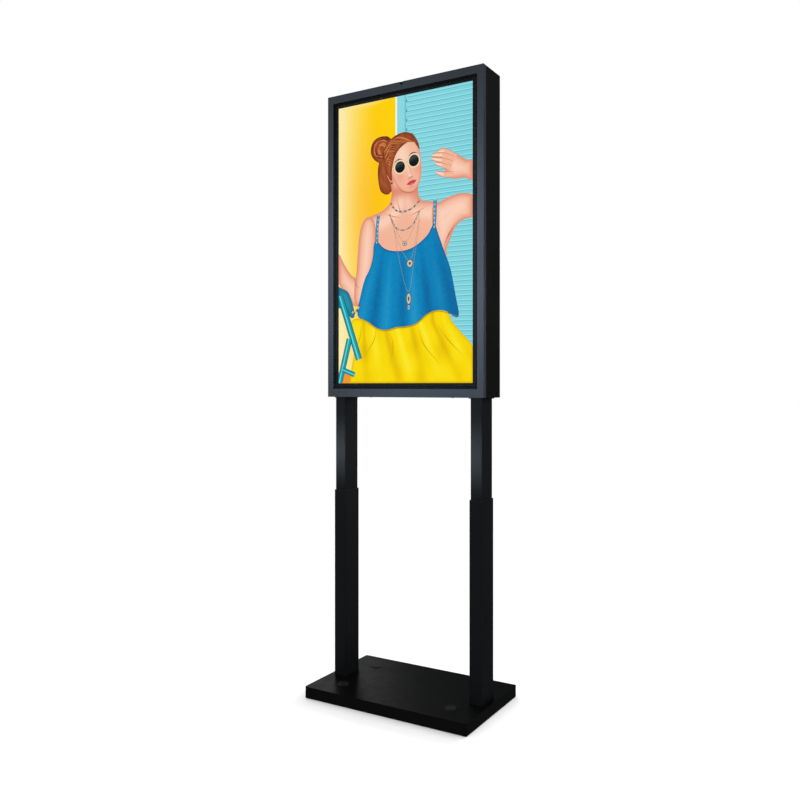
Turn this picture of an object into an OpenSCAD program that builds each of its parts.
// Floor-standing portrait touchscreen kiosk: a deep display case on two telescoping
// rectangular columns over a low ballasted base.
// Frame: origin on the floor under the middle of the base, +Z up, the screen faces -Y.

/* [Base] */
// Width of the base cover
base_w = 607; // [600:1:700]
// Depth of the base cover
base_d = 380; // [340:4:460]
// Height of the top of the base above the floor
base_h = 39.5; // [36:0.5:46]
// Thickness of the steel ballast plate
ballast_t = 16; // [12:1:17]

/* [Columns] */
// Distance from the middle to the axis of each column
column_x = 263; // [258:0.5:264]
// Width of the upper rectangular tube
upper_w = 40; // [38:1:42]
// Depth of the upper rectangular tube
upper_d = 80; // [76:1:82]
// Sheet thickness of both tubes
tube_t = 2; // [1.5:0.5:2]
// Height of the top of the lower sleeve above the floor
sleeve_top = 690; // [660:1:700]

/* [Case] */
// Width of the display case
case_w = 600; // [600:1:606]
// Height of the display case
case_h = 1049; // [1048:1:1058]
// Depth of the display case, front face to rear face
case_d = 125; // [123:1:130]
// Height of the underside of the case above the floor
case_bottom = 1016; // [1010:1:1026]
// Width of the visible picture
picture_w = 518; // [514:1:522]
// Height of the visible picture
picture_h = 957; // [952:1:958]

/* [Hidden] */
$fn = 48;

// Colours
black_paint = [0.06, 0.06, 0.065];
frame_paint = [0.2, 0.22, 0.25];
dark_plastic = [0.08, 0.08, 0.08];
zinc = [0.7, 0.7, 0.68];
rubber = [0.05, 0.05, 0.05];
circuit_green = [0.05, 0.3, 0.15];

// Small clearances
fit = 0.2;
slide_gap = 0.3;
pin_gap = 0.05;

// Base
mat_t = 2;
cover_t = 2.5;
cover_r = 5;
ballast_gap = 3;
ballast_top = mat_t + ballast_t;
anchor_x = 206;
anchor_y = 104;
anchor_r = 6.5;
sleeve_r = 15;
sleeve_bore_r = 12;
cap_r = 20;
cap_h = 2.5;
foot_t = 8;
foot_top = ballast_top + foot_t;
foot_half_w = 31;
foot_half_d = 75;
foot_bolt_dx = 17;
foot_bolt_dy = 60;
lead_hole_r = 14;

// Power entry in the rear wall of the base
entry_x = 135;
entry_z = 19;
entry_w = 86;
entry_h = 24;
inlet_x = entry_x - 18;
rocker_x = entry_x + 24;
rocker_tilt = 7;
entry_y = base_d / 2 - cover_t;
lead_r = 3.2;
lead_joint = 1.1;

// Columns
tube_r = 3;
lower_w = upper_w + 2 + 2 * tube_t;
lower_d = upper_d + 2 + 2 * tube_t;
bush_lip = 2;
bush_h = 60;
lower_top = sleeve_top - bush_lip;
upper_bottom = sleeve_top - 340;
shoe_floor = 8;
shoe_h = 60;
lock_z = [lower_top - 18, lower_top - 44];
boss_r = 8;
boss_t = 3;
lock_screw_r = 4;

// Case
sheet = 2;
case_top = case_bottom + case_h;
front_y = -case_d / 2;
rear_y = case_d / 2;
frame_depth = 18;
frame_plate = 2.5;
frame_side = 22.5;
frame_foot = 28;
frame_head = 26.5;
open_half = case_w / 2 - frame_side;
open_low = case_bottom + frame_foot;
open_high = case_top - frame_head;
return_t = 1.5;
glass_recess = 4;
glass_t = 3;
glass_lap = 6;
glass_y = front_y + glass_recess;
glass_back = glass_y + glass_t;
retainer_t = 1.5;
cell_y = glass_back + retainer_t;
picture_low = case_bottom + 47.5;
picture_mid = picture_low + picture_h / 2;
cell_w = 540;
cell_h = 969;
tray_w = 545;
tray_h = 974;
tray_t = 1.2;
tray_back = cell_y + 26;
seam = 0.5;
shell_front = front_y + frame_depth + seam;
lip_w = case_w - 2 * sheet - 2 * fit;
lip_h = case_h - 2 * sheet - 2 * fit;
case_mid = case_bottom + case_h / 2;
bezel_half_w = 271.5;
bezel_half_h = 486;
retainer_gap = 1.5;

// Column flange inside the case floor
flange_t = 6;
flange_half_w = 33;
flange_half_d = 40;
flange_bolt_dx = 27;
flange_bolt_dy = 28;
flange_z = case_bottom + sheet;

// Rails and electronics behind the panel
rail_x = 160;
rail_w = 40;
rail_depth = 12;
rail_t = 2;
rail_y = tray_back + fit;
plate_y = rail_y + rail_depth + fit;
plate_t = 1.5;
gear_y = plate_y + plate_t;
player_at = [-95, gear_y, case_bottom + 520];
supply_at = [100, gear_y, case_bottom + 260];
board_at = [100, gear_y + 6, case_bottom + 530];
touch_at = [-95, gear_y + 5, case_bottom + 250];

// Fans under the case roof
fan_side = 60;
fan_h = 25;
fan_x = 80;
fan_y = 19;
fan_bore_r = 28.5;
fan_top = case_top - sheet;
fan_hole_pitch = 50;
rotor_r = 27;
rotor_hub_r = 13;

// Rear door, hinges and locks
door_margin = 20;
door_gap = 1.5;
door_half = case_w / 2 - door_margin - door_gap;
door_low = case_bottom + door_margin + door_gap;
door_high = case_top - door_margin - door_gap;
door_lip = 8;
hinge_x = -(case_w / 2 - door_margin - 0.5);
hinge_y = rear_y + 4.7;
hinge_r = 4.5;
hinge_pin_r = 2.5;
hinge_len = 60;
knuckle = 18;
hinge_z = [case_bottom + 180, case_top - 180 - hinge_len];
lock_x = 250;
lock_zs = [case_bottom + 250, case_top - 250];
lock_r = 6;
barrel_r = 9;
cam_y = rear_y - sheet - door_lip - 3;

// ---------- shared shapes ----------

module block(low, high) {
    translate(low) cube(high - low);
}

module rounded_rect(w, d, r) {
    square([w - 2 * r, d], center = true);
    square([w, d - 2 * r], center = true);
    for (x = [-1, 1], y = [-1, 1])
        translate([x * (w / 2 - r), y * (d / 2 - r)]) circle(r);
}

module rounded_bar(w, d, r, z0, z1) {
    translate([0, 0, z0]) linear_extrude(z1 - z0) rounded_rect(w, d, r);
}

module rect_tube(w, d, t, r, z0, z1) {
    difference() {
        rounded_bar(w, d, r, z0, z1);
        rounded_bar(w - 2 * t, d - 2 * t, max(r - t, 0.5), z0 - 1, z1 + 1);
    }
}

// Flat ring in the XZ plane, from y0 to y1
module ring_xz(half_out, low_out, high_out, half_in, low_in, high_in, y0, y1) {
    difference() {
        block([-half_out, y0, low_out], [half_out, y1, high_out]);
        block([-half_in, y0 - 1, low_in], [half_in, y1 + 1, high_in]);
    }
}

module at_four(dx, dy) {
    for (x = [-dx, dx], y = [-dy, dy]) translate([x, y, 0]) children();
}

module at_columns() {
    for (side = [-1, 1]) translate([side * column_x, 0, 0]) children();
}

module cyl_y(r, y0, y1) {
    translate([0, y0, 0]) rotate([-90, 0, 0]) cylinder(r = r, h = y1 - y0);
}

// Round flexible lead through a list of points, drawn as straight runs with ball joints
module lead(points, r) {
    for (i = [0 : len(points) - 2]) {
        run = points[i + 1] - points[i];
        length = norm(run);
        translate(points[i])
            rotate([0, acos(run[2] / length), atan2(run[1], run[0])]) {
                cylinder(r = r, h = length);
                translate([0, 0, length]) sphere(r * lead_joint);
            }
    }
}

module hex_bolt(shank_r, head_af, head_h, length) {
    cylinder(r = head_af / sqrt(3), h = head_h, $fn = 6);
    translate([0, 0, -length]) cylinder(r = shank_r, h = length + 0.01);
}

// ---------- base ----------

module anti_slip_mat() color(rubber) difference() {
    w = base_w - 2 * (cover_t + ballast_gap);
    d = base_d - 2 * (cover_t + ballast_gap);
    rounded_bar(w, d, 3, 0, mat_t);
    at_four(anchor_x, anchor_y) translate([0, 0, -1]) cylinder(r = anchor_r + 4, h = mat_t + 2);
}

module ballast_plate() color(zinc) difference() {
    w = base_w - 2 * (cover_t + ballast_gap);
    d = base_d - 2 * (cover_t + ballast_gap);
    rounded_bar(w, d, 3, mat_t, ballast_top);
    at_four(anchor_x, anchor_y) translate([0, 0, -1]) cylinder(r = anchor_r, h = base_h);
    block([entry_x - 56, base_d / 2 - 42, -1], [entry_x + 56, base_d, base_h]);
    at_columns() at_four(foot_bolt_dx, foot_bolt_dy)
        translate([0, 0, mat_t + 3]) cylinder(r = lock_screw_r + fit, h = base_h);
}

module base_cover() color(black_paint) difference() {
    rounded_bar(base_w, base_d, cover_r, mat_t, base_h);
    rounded_bar(base_w - 2 * cover_t, base_d - 2 * cover_t, cover_r - cover_t, mat_t - 1,
        base_h - cover_t);
    at_columns() rounded_bar(lower_w + 2, lower_d + 2, tube_r + 1, base_h - cover_t - 1, base_h + 1);
    at_four(anchor_x, anchor_y) translate([0, 0, base_h - cover_t - 1]) cylinder(r = sleeve_bore_r,
        h = cover_t + 2);
    block([entry_x - entry_w / 2, entry_y - 1, entry_z - entry_h / 2],
          [entry_x + entry_w / 2, base_d / 2 + 1, entry_z + entry_h / 2]);
}

// Spacers that hold the cover up and line the anchor holes
module anchor_sleeves() color(zinc) at_four(anchor_x, anchor_y) difference() {
    translate([0, 0, ballast_top]) cylinder(r = sleeve_r, h = base_h - cover_t - ballast_top);
    translate([0, 0, ballast_top - 1]) cylinder(r = sleeve_bore_r, h = base_h);
}

module anchor_caps() color(dark_plastic) at_four(anchor_x, anchor_y) {
    translate([0, 0, base_h]) cylinder(r1 = cap_r, r2 = cap_r - 1.5, h = cap_h);
    difference() {
        translate([0, 0, base_h - 7]) cylinder(r = sleeve_bore_r - fit, h = 7.01);
        translate([0, 0, base_h - 8]) cylinder(r = sleeve_bore_r - 2, h = 8);
    }
}

module foot_bolts() color(zinc) at_columns() at_four(foot_bolt_dx, foot_bolt_dy)
    translate([0, 0, foot_top]) hex_bolt(lock_screw_r, 13, 5.3, foot_top - mat_t - 4);

module inlet_panel() color(zinc) difference() {
    block([entry_x - 50, entry_y - 2, ballast_top - 14], [entry_x + 50, entry_y, base_h - cover_t]);
    translate([inlet_x, 0, entry_z]) block([-14, entry_y - 3, -10], [14, entry_y + 1, 10]);
    translate([rocker_x, 0, entry_z]) block([-10, entry_y - 3, -7], [10, entry_y + 1, 7]);
}

module power_inlet() color(dark_plastic) translate([inlet_x, 0, entry_z]) {
    difference() {
        union() {
            block([-16, entry_y, -11.5], [16, entry_y + 2, 11.5]);
            block([-14 + fit, entry_y - 18, -10 + fit], [14 - fit, entry_y + 1, 10 - fit]);
        }
        block([-11.5, entry_y - 14, -7.5], [11.5, entry_y + 3, 7.5]);
    }
    for (pin = [[-6, -2], [0, 2], [6, -2]])
        translate([pin[0], 0, pin[1]]) block([-1, entry_y - 14.5, -2], [1, entry_y - 5, 2]);
}

module rocker_housing() color(dark_plastic) translate([rocker_x, 0, entry_z]) difference() {
    union() {
        block([-11, entry_y, -8], [11, entry_y + 2, 8]);
        block([-10 + fit, entry_y - 14, -7 + fit], [10 - fit, entry_y + 1, 7 - fit]);
    }
    block([-8.5, entry_y - 8, -6], [8.5, entry_y + 3, 6]);
    translate([-9.3, entry_y - 3, 0]) rotate([0, 90, 0]) cylinder(r = 1 + pin_gap, h = 18.6);
}

module rocker_switch() color(dark_plastic) translate([rocker_x, entry_y - 3, entry_z]) {
    rotate([90, 0, 90]) rotate([0, 0, rocker_tilt])
        translate([0, 0, -8]) linear_extrude(16)
            polygon([[-3, -5], [3.2, -5], [1.8, 0], [3.2, 5], [-3, 5]]);
    translate([-9, 0, 0]) rotate([0, 90, 0]) cylinder(r = 1, h = 18);
}

lead_z = ballast_top + lead_r * lead_joint + 0.3;
coil_low = foot_top + 1.5;
coil_high = flange_z - 30;
coil_r = 11;
module power_lead_base() color(rubber) lead([
    [inlet_x, entry_y - 18.2, lead_z + 0.2], [inlet_x + 1, 128, lead_z + 1.4], [124, 86, lead_z],
    [152, 46, lead_z + 1.2], [198, 9, lead_z], [column_x - 7, 1, lead_z + 1.2]], lead_r);

// A curly lead inside the right column, anchored at the foot and at the top of the moving tube
module coiled_lead() color(rubber) translate([column_x, 0, coil_low]) difference() {
    cylinder(r = coil_r, h = coil_high - coil_low);
    translate([0, 0, -1]) cylinder(r = coil_r - 5.5, h = coil_high - coil_low + 2);
}

// ---------- columns ----------

module lower_column() color(black_paint) difference() {
    union() {
        rect_tube(lower_w, lower_d, tube_t, tube_r, foot_top - 1, lower_top);
        block([-foot_half_w, -foot_half_d, ballast_top], [foot_half_w, foot_half_d, foot_top]);
        for (z = lock_z) translate([0, 0, z]) cyl_y(boss_r, lower_d / 2 - 0.5, lower_d / 2 + boss_t);
    }
    for (z = lock_z) translate([0, 0, z]) cyl_y(lock_screw_r + pin_gap, lower_d / 2 - tube_t - 1,
        lower_d / 2 + boss_t + 1);
    at_four(foot_bolt_dx, foot_bolt_dy)
        translate([0, 0, ballast_top - 1]) cylinder(r = lock_screw_r + 0.5, h = foot_t + 2);
    // Channel under the tube that lets the mains lead in from either side
    block([-lower_w, -8, ballast_top - 1], [lower_w, 8, base_h - 1]);
}

module column_left_lower() translate([-column_x, 0, 0]) lower_column();
module column_right_lower() translate([column_x, 0, 0]) lower_column();

// Plastic liner with a thin lip, pressed into the mouth of the lower sleeve
module guide_bush() color(dark_plastic) difference() {
    union() {
        rounded_bar(lower_w - 2 * tube_t, lower_d - 2 * tube_t, 1, lower_top - bush_h, lower_top + 0.5);
        rounded_bar(lower_w, lower_d, tube_r, lower_top, sleeve_top);
    }
    rounded_bar(upper_w + 2 * slide_gap, upper_d + 2 * slide_gap, tube_r, lower_top - bush_h - 1,
        sleeve_top + 1);
    for (z = lock_z) translate([0, 0, z]) cyl_y(lock_screw_r + fit, upper_d / 2, lower_d / 2);
}

module guide_bush_left() translate([-column_x, 0, 0]) guide_bush();
module guide_bush_right() translate([column_x, 0, 0]) guide_bush();

// Socket set screws that clamp the upper tube at its height
module height_lock_screws() color(zinc) at_columns() for (z = lock_z) translate([0, 0, z]) difference() {
    cyl_y(lock_screw_r, upper_d / 2 + slide_gap, lower_d / 2 + boss_t - 0.5);
    translate([0, lower_d / 2 - 1, 0]) rotate([-90, 0, 0]) cylinder(r = 2.3, h = 5, $fn = 6);
}

module upper_column() color(black_paint) difference() {
    union() {
        rect_tube(upper_w, upper_d, tube_t, tube_r, upper_bottom, flange_z + flange_t);
        difference() {
            block([-flange_half_w, -flange_half_d, flange_z], [flange_half_w, flange_half_d,
                flange_z + flange_t]);
            rounded_bar(upper_w - 2 * tube_t, upper_d - 2 * tube_t, 1, flange_z - 1,
                flange_z + flange_t + 1);
        }
    }
    at_four(flange_bolt_dx, flange_bolt_dy) translate([0, 0, flange_z - 1]) cylinder(r = 3.2,
        h = flange_t + 2);
}

module column_left_upper() translate([-column_x, 0, 0]) upper_column();
module column_right_upper() translate([column_x, 0, 0]) upper_column();

// Plastic shoe that closes the bottom end of the upper tube and runs in the sleeve
module glide_shoe() color(dark_plastic) difference() {
    rounded_bar(upper_w + 2 * (1 - slide_gap), upper_d + 2 * (1 - slide_gap), 1.2,
                upper_bottom - shoe_floor, upper_bottom - shoe_floor + shoe_h);
    rounded_bar(upper_w, upper_d, tube_r, upper_bottom, upper_bottom + shoe_h);
    translate([0, 0, upper_bottom - shoe_floor - 1]) cylinder(r = lead_hole_r, h = shoe_floor + 2);
}

module glide_shoe_left() translate([-column_x, 0, 0]) glide_shoe();
module glide_shoe_right() translate([column_x, 0, 0]) glide_shoe();

module flange_bolts() color(zinc) at_columns() at_four(flange_bolt_dx, flange_bolt_dy) difference() {
    union() {
        translate([0, 0, case_bottom - 3]) cylinder(r1 = 3.6, r2 = 5.25, h = 3);
        translate([0, 0, case_bottom - 0.01]) cylinder(r = 3, h = sheet + flange_t);
    }
    translate([0, 0, case_bottom - 4]) cylinder(r = 2, h = 3, $fn = 6);
}

// ---------- case ----------

module vent_slots(rows, cols, length, width, pitch_x, pitch_z) {
    for (i = [0 : cols - 1], j = [0 : rows - 1])
        translate([(i - (cols - 1) / 2) * pitch_x, 0, (j - (rows - 1) / 2) * pitch_z])
            cube([length, 4 * sheet, width], center = true);
}

// Cut-outs that the shell and its floor plate share
module floor_openings() {
    at_columns() rounded_bar(upper_w + 2, upper_d + 2, tube_r + 1, case_bottom - 1,
        case_bottom + sheet + 0.01);
    at_columns() at_four(flange_bolt_dx, flange_bolt_dy) translate([0, 0, case_bottom - 1])
        cylinder(r = 3.2, h = 4);
    translate([0, fan_y, case_bottom + sheet / 2]) rotate([90, 0, 0]) vent_slots(5, 5, 34, 4, 44, 9);
    for (side = [-1, 1], end = [0, 1]) translate([side * rail_x, rail_y + rail_depth + 14,
        end * (case_h - sheet) + case_bottom])
        translate([0, 0, sheet / 2]) cylinder(r = 2.2, h = 6, center = true);
}

module enclosure_shell() color(black_paint) difference() {
    union() {
        // Four outer walls; the floor plate closes the opening left in the lower one
        difference() {
            ring_xz(case_w / 2, case_bottom, case_top, case_w / 2 - sheet, case_bottom + sheet,
                    case_top - sheet, shell_front, rear_y);
            block([-case_w / 2 + sheet, shell_front + 12, case_bottom - 1],
                  [case_w / 2 - sheet, rear_y - sheet, case_bottom + sheet + 0.01]);
        }
        // Front lip that the frame slips over
        ring_xz(lip_w / 2, case_mid - lip_h / 2, case_mid + lip_h / 2,
                lip_w / 2 - sheet, case_mid - lip_h / 2 + sheet, case_mid + lip_h / 2 - sheet,
                front_y + 5, shell_front + 12);
        ring_xz(case_w / 2 - 1, case_bottom + 1, case_top - 1,
                lip_w / 2 - 1, case_mid - lip_h / 2 + 1, case_mid + lip_h / 2 - 1,
                shell_front, shell_front + 12);
        // Rear flange around the door
        ring_xz(case_w / 2, case_bottom, case_top,
                case_w / 2 - door_margin, case_bottom + door_margin, case_top - door_margin,
                rear_y - sheet, rear_y);
    }
    floor_openings();
    at_columns() block([-upper_w / 2 - 14, -flange_half_d - 3, case_bottom + sheet],
                       [upper_w / 2 + 14.5, flange_half_d + 3, case_bottom + sheet + flange_t + 1]);
    // Exhaust slots over the fans
    for (side = [-1, 1]) translate([side * fan_x, fan_y, case_top - sheet / 2])
        rotate([90, 0, 0]) vent_slots(6, 1, 48, 4, 1, 8);
    for (side = [-1, 1]) translate([side * fan_x, fan_y, 0])
        at_four(fan_hole_pitch / 2, fan_hole_pitch / 2) translate([0, 0, case_top - 4])
            cylinder(r = 2.2, h = 6);
    frame_screw_places() cylinder(r = 1.8, h = 14, center = true);
}

// Load-bearing floor of the case, welded in flush, with intake slots
module case_floor() color(black_paint) difference() {
    block([-case_w / 2 + sheet, shell_front + 12, case_bottom],
          [case_w / 2 - sheet, rear_y - sheet, case_bottom + sheet]);
    floor_openings();
}

module frame_screw_places() {
    for (x = [-240, -80, 80, 240], side = [0, 1])
        translate([x, front_y + 12, side == 0 ? case_bottom : case_top]) rotate([side * 180, 0, 0])
            children();
}

module frame_screws() color(zinc) frame_screw_places() {
    cylinder(r1 = 3.2, r2 = 1.7, h = 1.8);
    translate([0, 0, 1.7]) cylinder(r = 1.7, h = 4);
}

module sensor_notch(r) {
    translate([0, 0, case_top - 5]) {
        cyl_y(r, front_y - 1, front_y + frame_plate + 0.01);
        block([-r, front_y - 1, 0], [r, front_y + frame_plate + 0.01, 6]);
    }
}

module front_frame() color(frame_paint) difference() {
    union() {
        ring_xz(case_w / 2, case_bottom, case_top, open_half, open_low, open_high, front_y,
            front_y + frame_plate);
        ring_xz(case_w / 2, case_bottom, case_top, case_w / 2 - sheet, case_bottom + sheet,
            case_top - sheet,
                front_y, front_y + frame_depth);
        ring_xz(open_half + return_t, open_low - return_t, open_high + return_t,
                open_half, open_low, open_high, front_y, glass_y);
    }
    sensor_notch(6);
    frame_screw_places() {
        translate([0, 0, -0.01]) cylinder(r1 = 3.4, r2 = 1.9, h = 1.8);
        cylinder(r = 1.9, h = 8, center = true);
    }
}

module glass_gasket() color(rubber)
    ring_xz(open_half + glass_lap, open_low - glass_lap, open_high + glass_lap,
            open_half + return_t + fit, open_low - return_t - fit, open_high + return_t + fit,
            front_y + frame_plate, glass_y);

module touch_glass() color([0.3, 0.35, 0.4, 0.4])
    block([-open_half - glass_lap, glass_y, open_low - glass_lap], [open_half + glass_lap, glass_back,
        open_high + glass_lap]);

// Steel ring that holds the glass forward and masks the gap round the panel
module glass_retainer() color(black_paint)
    ring_xz(lip_w / 2 - sheet - fit, case_mid - lip_h / 2 + sheet + fit,
        case_mid + lip_h / 2 - sheet - fit,
            bezel_half_w + retainer_gap, picture_mid - bezel_half_h - retainer_gap,
                picture_mid + bezel_half_h + retainer_gap,
            glass_back, cell_y);

// Front frame of the display panel
module lcd_bezel() color([0.2, 0.22, 0.23])
    ring_xz(bezel_half_w, picture_mid - bezel_half_h, picture_mid + bezel_half_h,
            picture_w / 2, picture_low, picture_low + picture_h, glass_back + 0.3, cell_y);

module lcd_cell() color([0.4, 0.75, 0.8])
    block([-cell_w / 2, cell_y, picture_mid - cell_h / 2], [cell_w / 2, cell_y + 2,
        picture_mid + cell_h / 2]);

module backlight_plate() color([0.9, 0.9, 0.88])
    block([-cell_w / 2 + 2, cell_y + 2 + fit, picture_mid - cell_h / 2 + 2],
          [cell_w / 2 - 2, cell_y + 5 + fit, picture_mid + cell_h / 2 - 2]);

module lcd_tray() color(zinc) difference() {
    block([-tray_w / 2, cell_y, picture_mid - tray_h / 2], [tray_w / 2, tray_back,
        picture_mid + tray_h / 2]);
    block([-tray_w / 2 + tray_t, cell_y - 1, picture_mid - tray_h / 2 + tray_t],
          [tray_w / 2 - tray_t, tray_back - tray_t, picture_mid + tray_h / 2 - tray_t]);
    panel_screw_places() cyl_y(2.2, tray_back - 3, tray_back + 1);
}

module panel_screw_places() {
    for (side = [-1, 1], z = [picture_low + 60, picture_low + picture_h - 60])
        translate([side * rail_x, 0, z]) children();
}

module plate_screw_places() {
    for (side = [-1, 1], z = [case_bottom + 200, case_bottom + 700]) translate([side * (rail_x + 5), 0,
        z]) children();
}

// Spacers and screws that hang the panel on the rails, and the screws of the equipment plate
module panel_screws() color(zinc) {
    panel_screw_places() {
        cyl_y(4.5, tray_back, rail_y + rail_depth - rail_t);
        cyl_y(2, tray_back - tray_t, rail_y + rail_depth + 0.01);
        cyl_y(3.6, rail_y + rail_depth, rail_y + rail_depth + 2.4);
    }
    plate_screw_places() {
        cyl_y(2, rail_y + rail_depth - 6, gear_y + 0.01);
        cyl_y(3.6, gear_y, gear_y + 2.4);
    }
}

// Vertical channels that carry the panel, with a tab at each end for the case floor and roof
module panel_rails() color(zinc) for (side = [-1, 1]) translate([side * rail_x, 0, 0]) {
    low = case_bottom + sheet;
    high = case_top - sheet;
    difference() {
        block([-rail_w / 2, rail_y, low], [rail_w / 2, rail_y + rail_depth, high]);
        block([-rail_w / 2 + rail_t, rail_y - 1, low + rail_t], [rail_w / 2 - rail_t,
            rail_y + rail_depth - rail_t, high - rail_t]);
        translate([-side * rail_x, 0, 0]) {
            panel_screw_places() cyl_y(2.2, rail_y, rail_y + rail_depth + 1);
            plate_screw_places() cyl_y(2.2, rail_y, rail_y + rail_depth + 1);
        }
    }
    for (z = [low, high - rail_t]) difference() {
        block([-rail_w / 2, rail_y + rail_depth - 0.5, z], [rail_w / 2, rail_y + rail_depth + 22,
            z + rail_t]);
        translate([0, rail_y + rail_depth + 14, z - 1]) cylinder(r = 2.2, h = 5);
    }
}

module rail_screws() color(zinc) for (side = [-1, 1], end = [0, 1])
    translate([side * rail_x, rail_y + rail_depth + 14, end == 0 ? case_bottom : case_top])
        rotate([end * 180, 0, 0]) translate([0, 0, -2]) {
            cylinder(r1 = 2.8, r2 = 3.8, h = 2);
            translate([0, 0, 1.99]) cylinder(r = 2, h = 5);
        }

module equipment_plate() color(zinc) difference() {
    block([-190, plate_y, case_bottom + 150], [190, gear_y, case_bottom + 760]);
    plate_screw_places() cyl_y(2.2, plate_y - 1, gear_y + 1);
    block([-60, plate_y - 1, case_bottom + 640], [60, gear_y + 1, case_bottom + 720]);
}

// Small computer with a finned lid
module media_player() color(dark_plastic) translate(player_at) {
    block([-60, 0, -65], [60, 32, 65]);
    for (i = [-5 : 5]) block([i * 10 - 2, 31.5, -50], [i * 10 + 2, 38, 50]);
}

// Folded cage round an open-frame supply
module power_supply() color(zinc) translate(supply_at) {
    difference() {
        block([-50, 0, -80], [50, 38, 80]);
        block([-48.5, 1.5, -78.5], [48.5, 36.5, 90]);
        for (i = [-6 : 6], j = [-3 : 3]) translate([j * 12, 0, i * 10]) cyl_y(3, 35, 40);
    }
    block([-45, 1, -76], [45, 3, 60]);
    block([-40, 2.9, -60], [-15, 30, -20]);
    block([5, 2.9, -30], [35, 26, 10]);
    for (i = [0 : 2]) translate([-30 + 25 * i, 0, 40]) cyl_y(8, 2.9, 30);
}

module driver_board() color(circuit_green) translate(board_at) {
    block([-70, 0, -60], [70, 1.6, 60]);
    for (x = [-64, 64], z = [-54, 54]) translate([x, 0, z]) cyl_y(3, -6, 0);
    block([-22, 1.6, -22], [22, 4, 22]);
    for (i = [-3 : 3]) block([i * 6 - 1, 3.9, -20], [i * 6 + 1, 14, 20]);
    block([-66, 1.6, 30], [-46, 9, 44]);
    block([30, 1.6, 42], [60, 12, 58]);
    block([-10, 1.6, -59], [20, 10, -47]);
    for (i = [0 : 3]) translate([-60 + 12 * i, 0, -38]) cyl_y(5, 1.6, 13);
}

module touch_controller() color(circuit_green) translate(touch_at) {
    block([-45, 0, -25], [45, 1.6, 25]);
    for (x = [-40, 40], z = [-20, 20]) translate([x, 0, z]) cyl_y(2.5, -5, 0);
    block([-12, 1.6, -12], [12, 3.2, 12]);
    block([-40, 1.6, 12], [-10, 7, 20]);
}

// Mains lead from the top of the right column to the power supply
module power_lead_case() color(rubber) lead([
    [column_x, 0, coil_high + 0.2], [column_x, 0, flange_z + 16],
    [column_x - 22, 10, flange_z + 38], [180, 14, flange_z + 80], [120, 14, flange_z + 128],
    supply_at + [10, 22, -90], supply_at + [10, 22, -80.3 - lead_r * lead_joint]], lead_r);

module signal_cables() color(rubber) {
    lead([player_at + [10, 16, 65.2 + 2.8 * lead_joint], player_at + [12, 18, 84], player_at + [50, 20,
        104],
          [40, gear_y + 18, player_at[2] + 96], board_at + [-56, 5, 60], board_at + [-56, 5,
              44.2 + 2.8 * lead_joint]], 2.8);
    lead([player_at + [-10, 16, -65.2 - 2.4 * lead_joint], player_at + [-12, 18, -90],
        player_at + [-28, 18, -160],
          touch_at + [-25, 8, 60], touch_at + [-25, 4, 20.2 + 2.4 * lead_joint]], 2.4);
    lead([supply_at + [0, 20, 70], supply_at + [0, 24, 100], board_at + [5, 14, -90],
          board_at + [5, 6, -59.2 - 2.4 * lead_joint]], 2.4);
}

module light_sensor() color(dark_plastic) {
    intersection() {
        sensor_notch(6 - fit);
        block([-8, front_y + 0.6, case_top - 14], [8, front_y + frame_plate, case_top - 0.4]);
    }
    block([-10, front_y + frame_plate, case_top - 17], [10, front_y + frame_plate + 1.6,
        case_top - sheet - fit]);
}

// ---------- fans ----------

module fan_frame() {
    difference() {
        block([-fan_side / 2, -fan_side / 2, fan_top - fan_h], [fan_side / 2, fan_side / 2, fan_top]);
        translate([0, 0, fan_top - fan_h - 1]) cylinder(r = fan_bore_r, h = fan_h + 2, $fn = 64);
        at_four(fan_hole_pitch / 2, fan_hole_pitch / 2)
            translate([0, 0, fan_top - fan_h - 1]) cylinder(r = 2.2, h = fan_h + 2);
    }
    difference() {
        union() {
            translate([0, 0, fan_top - fan_h]) cylinder(r = 12, h = 3);
            for (turn = [0, 90]) rotate([0, 0, turn + 45])
                block([-fan_bore_r - 1, -1.5, fan_top - fan_h], [fan_bore_r + 1, 1.5,
                    fan_top - fan_h + 2.5]);
        }
        translate([0, 0, fan_top - fan_h - 1]) cylinder(r = 1.5 + pin_gap, h = 6);
    }
}

module fan_frames() color(dark_plastic) for (side = [-1, 1]) translate([side * fan_x, fan_y, 0])
    fan_frame();

module fan_screws() color(zinc) for (side = [-1, 1]) translate([side * fan_x, fan_y, 0])
    at_four(fan_hole_pitch / 2, fan_hole_pitch / 2) {
        translate([0, 0, case_top]) cylinder(r1 = 3.8, r2 = 2.6, h = 2);
        translate([0, 0, fan_top - fan_h + 2]) cylinder(r = 2, h = fan_h);
    }

module fan_rotor() color(dark_plastic) {
    low = fan_top - fan_h + 4;
    translate([0, 0, low]) cylinder(r = rotor_hub_r, h = 18);
    translate([0, 0, low - 3.5]) cylinder(r = 1.5, h = 4);
    intersection() {
        for (i = [0 : 6]) rotate([0, 0, i * 360 / 7])
            translate([rotor_hub_r + 8, 0, low + 9]) rotate([38, 0, 0]) cube([20, 2, 22], center = true);
        translate([0, 0, low + 1]) cylinder(r = rotor_r, h = 16);
    }
}

module fan_rotor_left() translate([-fan_x, fan_y, 0]) fan_rotor();
module fan_rotor_right() translate([fan_x, fan_y, 0]) fan_rotor();

// ---------- rear door ----------

module hinge_barrel(z0, z1, bore) difference() {
    translate([hinge_x, hinge_y, z0]) cylinder(r = hinge_r, h = z1 - z0);
    translate([hinge_x, hinge_y, z0 - 1]) cylinder(r = bore, h = z1 - z0 + 2);
}

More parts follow.
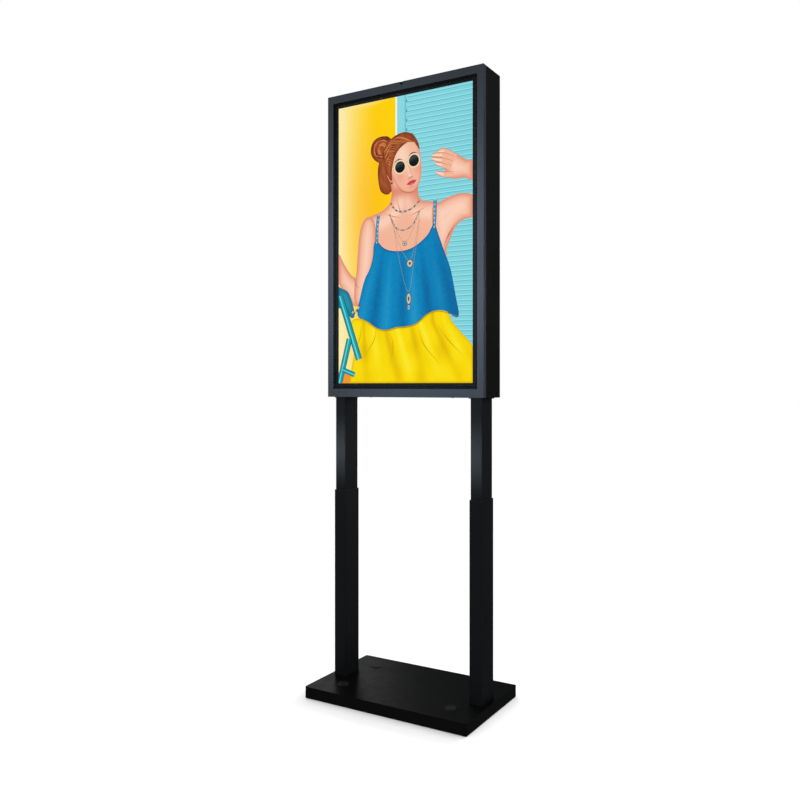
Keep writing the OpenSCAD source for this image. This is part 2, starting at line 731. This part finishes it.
module hinge_leaf(x0, x1, z0, z1, bore) {
    difference() {
        block([min(x0, x1), rear_y, z0], [max(x0, x1), rear_y + sheet, z1]);
        translate([hinge_x, hinge_y, z0 - 1]) cylinder(r = hinge_r - 0.3, h = z1 - z0 + 2);
    }
    hinge_barrel(z0, z1, bore);
}

module hinge_case_leaves() color(zinc) for (z = hinge_z) {
    for (end = [0, hinge_len - knuckle])
        hinge_leaf(hinge_x - 19, hinge_x - 2, z + end, z + end + knuckle, hinge_pin_r);
    block([hinge_x - 19, rear_y, z], [hinge_x - 5.2, rear_y + sheet, z + hinge_len]);
}

module hinge_door_leaves() color(zinc) for (z = hinge_z) {
    hinge_leaf(hinge_x + 2, hinge_x + 19, z + knuckle + slide_gap, z + hinge_len - knuckle - slide_gap,
        hinge_pin_r + pin_gap);
    block([hinge_x + 5.2, rear_y, z], [hinge_x + 19, rear_y + sheet, z + hinge_len]);
}

module hinge_pins() color(zinc) for (z = hinge_z) {
    translate([hinge_x, hinge_y, z]) cylinder(r = hinge_pin_r, h = hinge_len);
    for (end = [-1.5, hinge_len]) translate([hinge_x, hinge_y, z + end]) cylinder(r = hinge_r - 0.5,
        h = 1.5);
}

module rear_door() color(black_paint) difference() {
    union() {
        block([-door_half, rear_y - sheet, door_low], [door_half, rear_y, door_high]);
        ring_xz(door_half, door_low, door_high, door_half - sheet, door_low + sheet, door_high - sheet,
                rear_y - sheet - door_lip, rear_y - sheet + 0.01);
    }
    translate([0, rear_y - sheet / 2, case_bottom + 130]) vent_slots(9, 4, 60, 4, 72, 10);
    translate([0, rear_y - sheet / 2, case_top - 110]) vent_slots(5, 4, 60, 4, 72, 10);
    for (z = lock_zs) translate([lock_x, 0, z]) cyl_y(barrel_r + fit, rear_y - 5, rear_y + 1);
}

// Foam strip on the inside of the door lip
module door_seal() color(rubber)
    ring_xz(door_half - sheet - fit, door_low + sheet + fit, door_high - sheet - fit,
            door_half - sheet - 5, door_low + sheet + 5, door_high - sheet - 5,
            rear_y - sheet - 6, rear_y - sheet);

module dust_filter() color(rubber)
    block([-150, rear_y - sheet - 7, case_bottom + 78], [150, rear_y - sheet, case_bottom + 182]);

module lock_housings() color(zinc) for (z = lock_zs) translate([lock_x, 0, z]) difference() {
    union() {
        cyl_y(barrel_r, cam_y + 3.2, rear_y + 0.5);
        cyl_y(11, rear_y, rear_y + 2);
        cyl_y(11.5, rear_y - sheet - 4, rear_y - sheet);
    }
    cyl_y(lock_r + pin_gap, cam_y, rear_y + 3);
}

// Angle brackets on the rear flange that the cams turn behind
module lock_keepers() color(zinc) for (z = lock_zs)
    block([door_half + 4, cam_y + 3.5, z - 20], [door_half + 9, rear_y - sheet, z + 20]);

module cam_lock() color(zinc) {
    difference() {
        cyl_y(lock_r, cam_y, rear_y + 1.6);
        block([-0.8, rear_y - 4, -3.5], [0.8, rear_y + 3, 3.5]);
    }
    block([-6, cam_y, -8], [6, cam_y + 2.5, 38]);
    cyl_y(5, cam_y - 3.5, cam_y + 0.01);
}

module cam_lock_upper() translate([lock_x, 0, lock_zs[1]]) cam_lock();
module cam_lock_lower() translate([lock_x, 0, lock_zs[0]]) cam_lock();

// ---------- nodes ----------

anti_slip_mat();
ballast_plate();
base_cover();
anchor_sleeves();
anchor_caps();
foot_bolts();
column_left_lower();
column_right_lower();
guide_bush_left();
guide_bush_right();
height_lock_screws();
inlet_panel();
power_inlet();
rocker_housing();
rocker_switch();
power_lead_base();
coiled_lead();
column_left_upper();
column_right_upper();
glide_shoe_left();
glide_shoe_right();
flange_bolts();
enclosure_shell();
case_floor();
front_frame();
frame_screws();
glass_gasket();
touch_glass();
glass_retainer();
lcd_bezel();
lcd_cell();
backlight_plate();
lcd_tray();
panel_rails();
rail_screws();
panel_screws();
equipment_plate();
media_player();
power_supply();
driver_board();
touch_controller();
power_lead_case();
signal_cables();
light_sensor();
fan_frames();
fan_screws();
fan_rotor_left();
fan_rotor_right();
hinge_case_leaves();
hinge_pins();
hinge_door_leaves();
rear_door();
door_seal();
dust_filter();
lock_housings();
lock_keepers();
cam_lock_upper();
cam_lock_lower();
